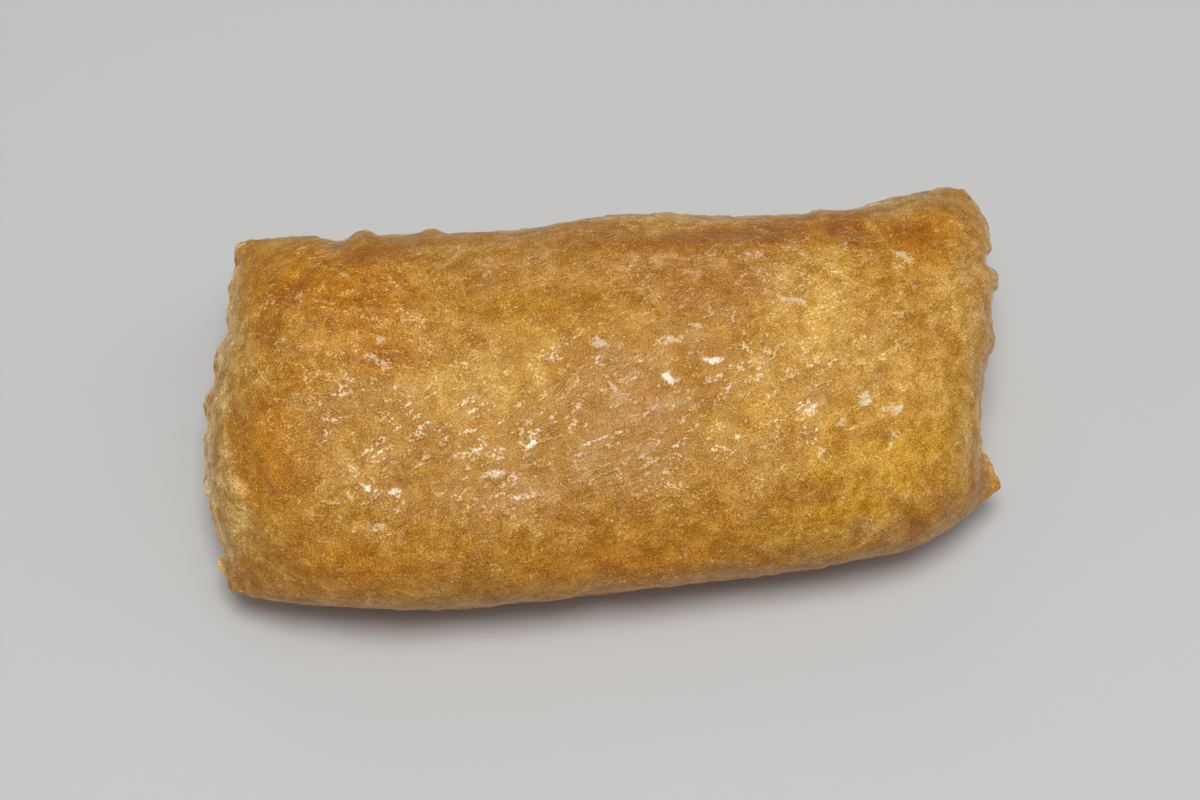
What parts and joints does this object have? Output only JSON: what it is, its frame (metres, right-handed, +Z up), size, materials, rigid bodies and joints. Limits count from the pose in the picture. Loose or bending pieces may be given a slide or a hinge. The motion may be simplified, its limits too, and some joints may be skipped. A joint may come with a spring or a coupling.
{
  "type": "inari sushi",
  "caption": "Closed pouch of simmered fried tofu filled with rice, long and puffed, lying on its folded mouth.",
  "frame": {"origin": "on the table, under the middle of the pouch", "axes": "+X along the pouch, -Y its front, +Z up"},
  "size_m": [0.082, 0.042, 0.0257],
  "materials": {
    "tofu_skin": "moist satin, golden brown"
  },
  "bodies": {
    "root": {"tofu_pouch": "tofu_skin"}
  },
  "joints": []
}
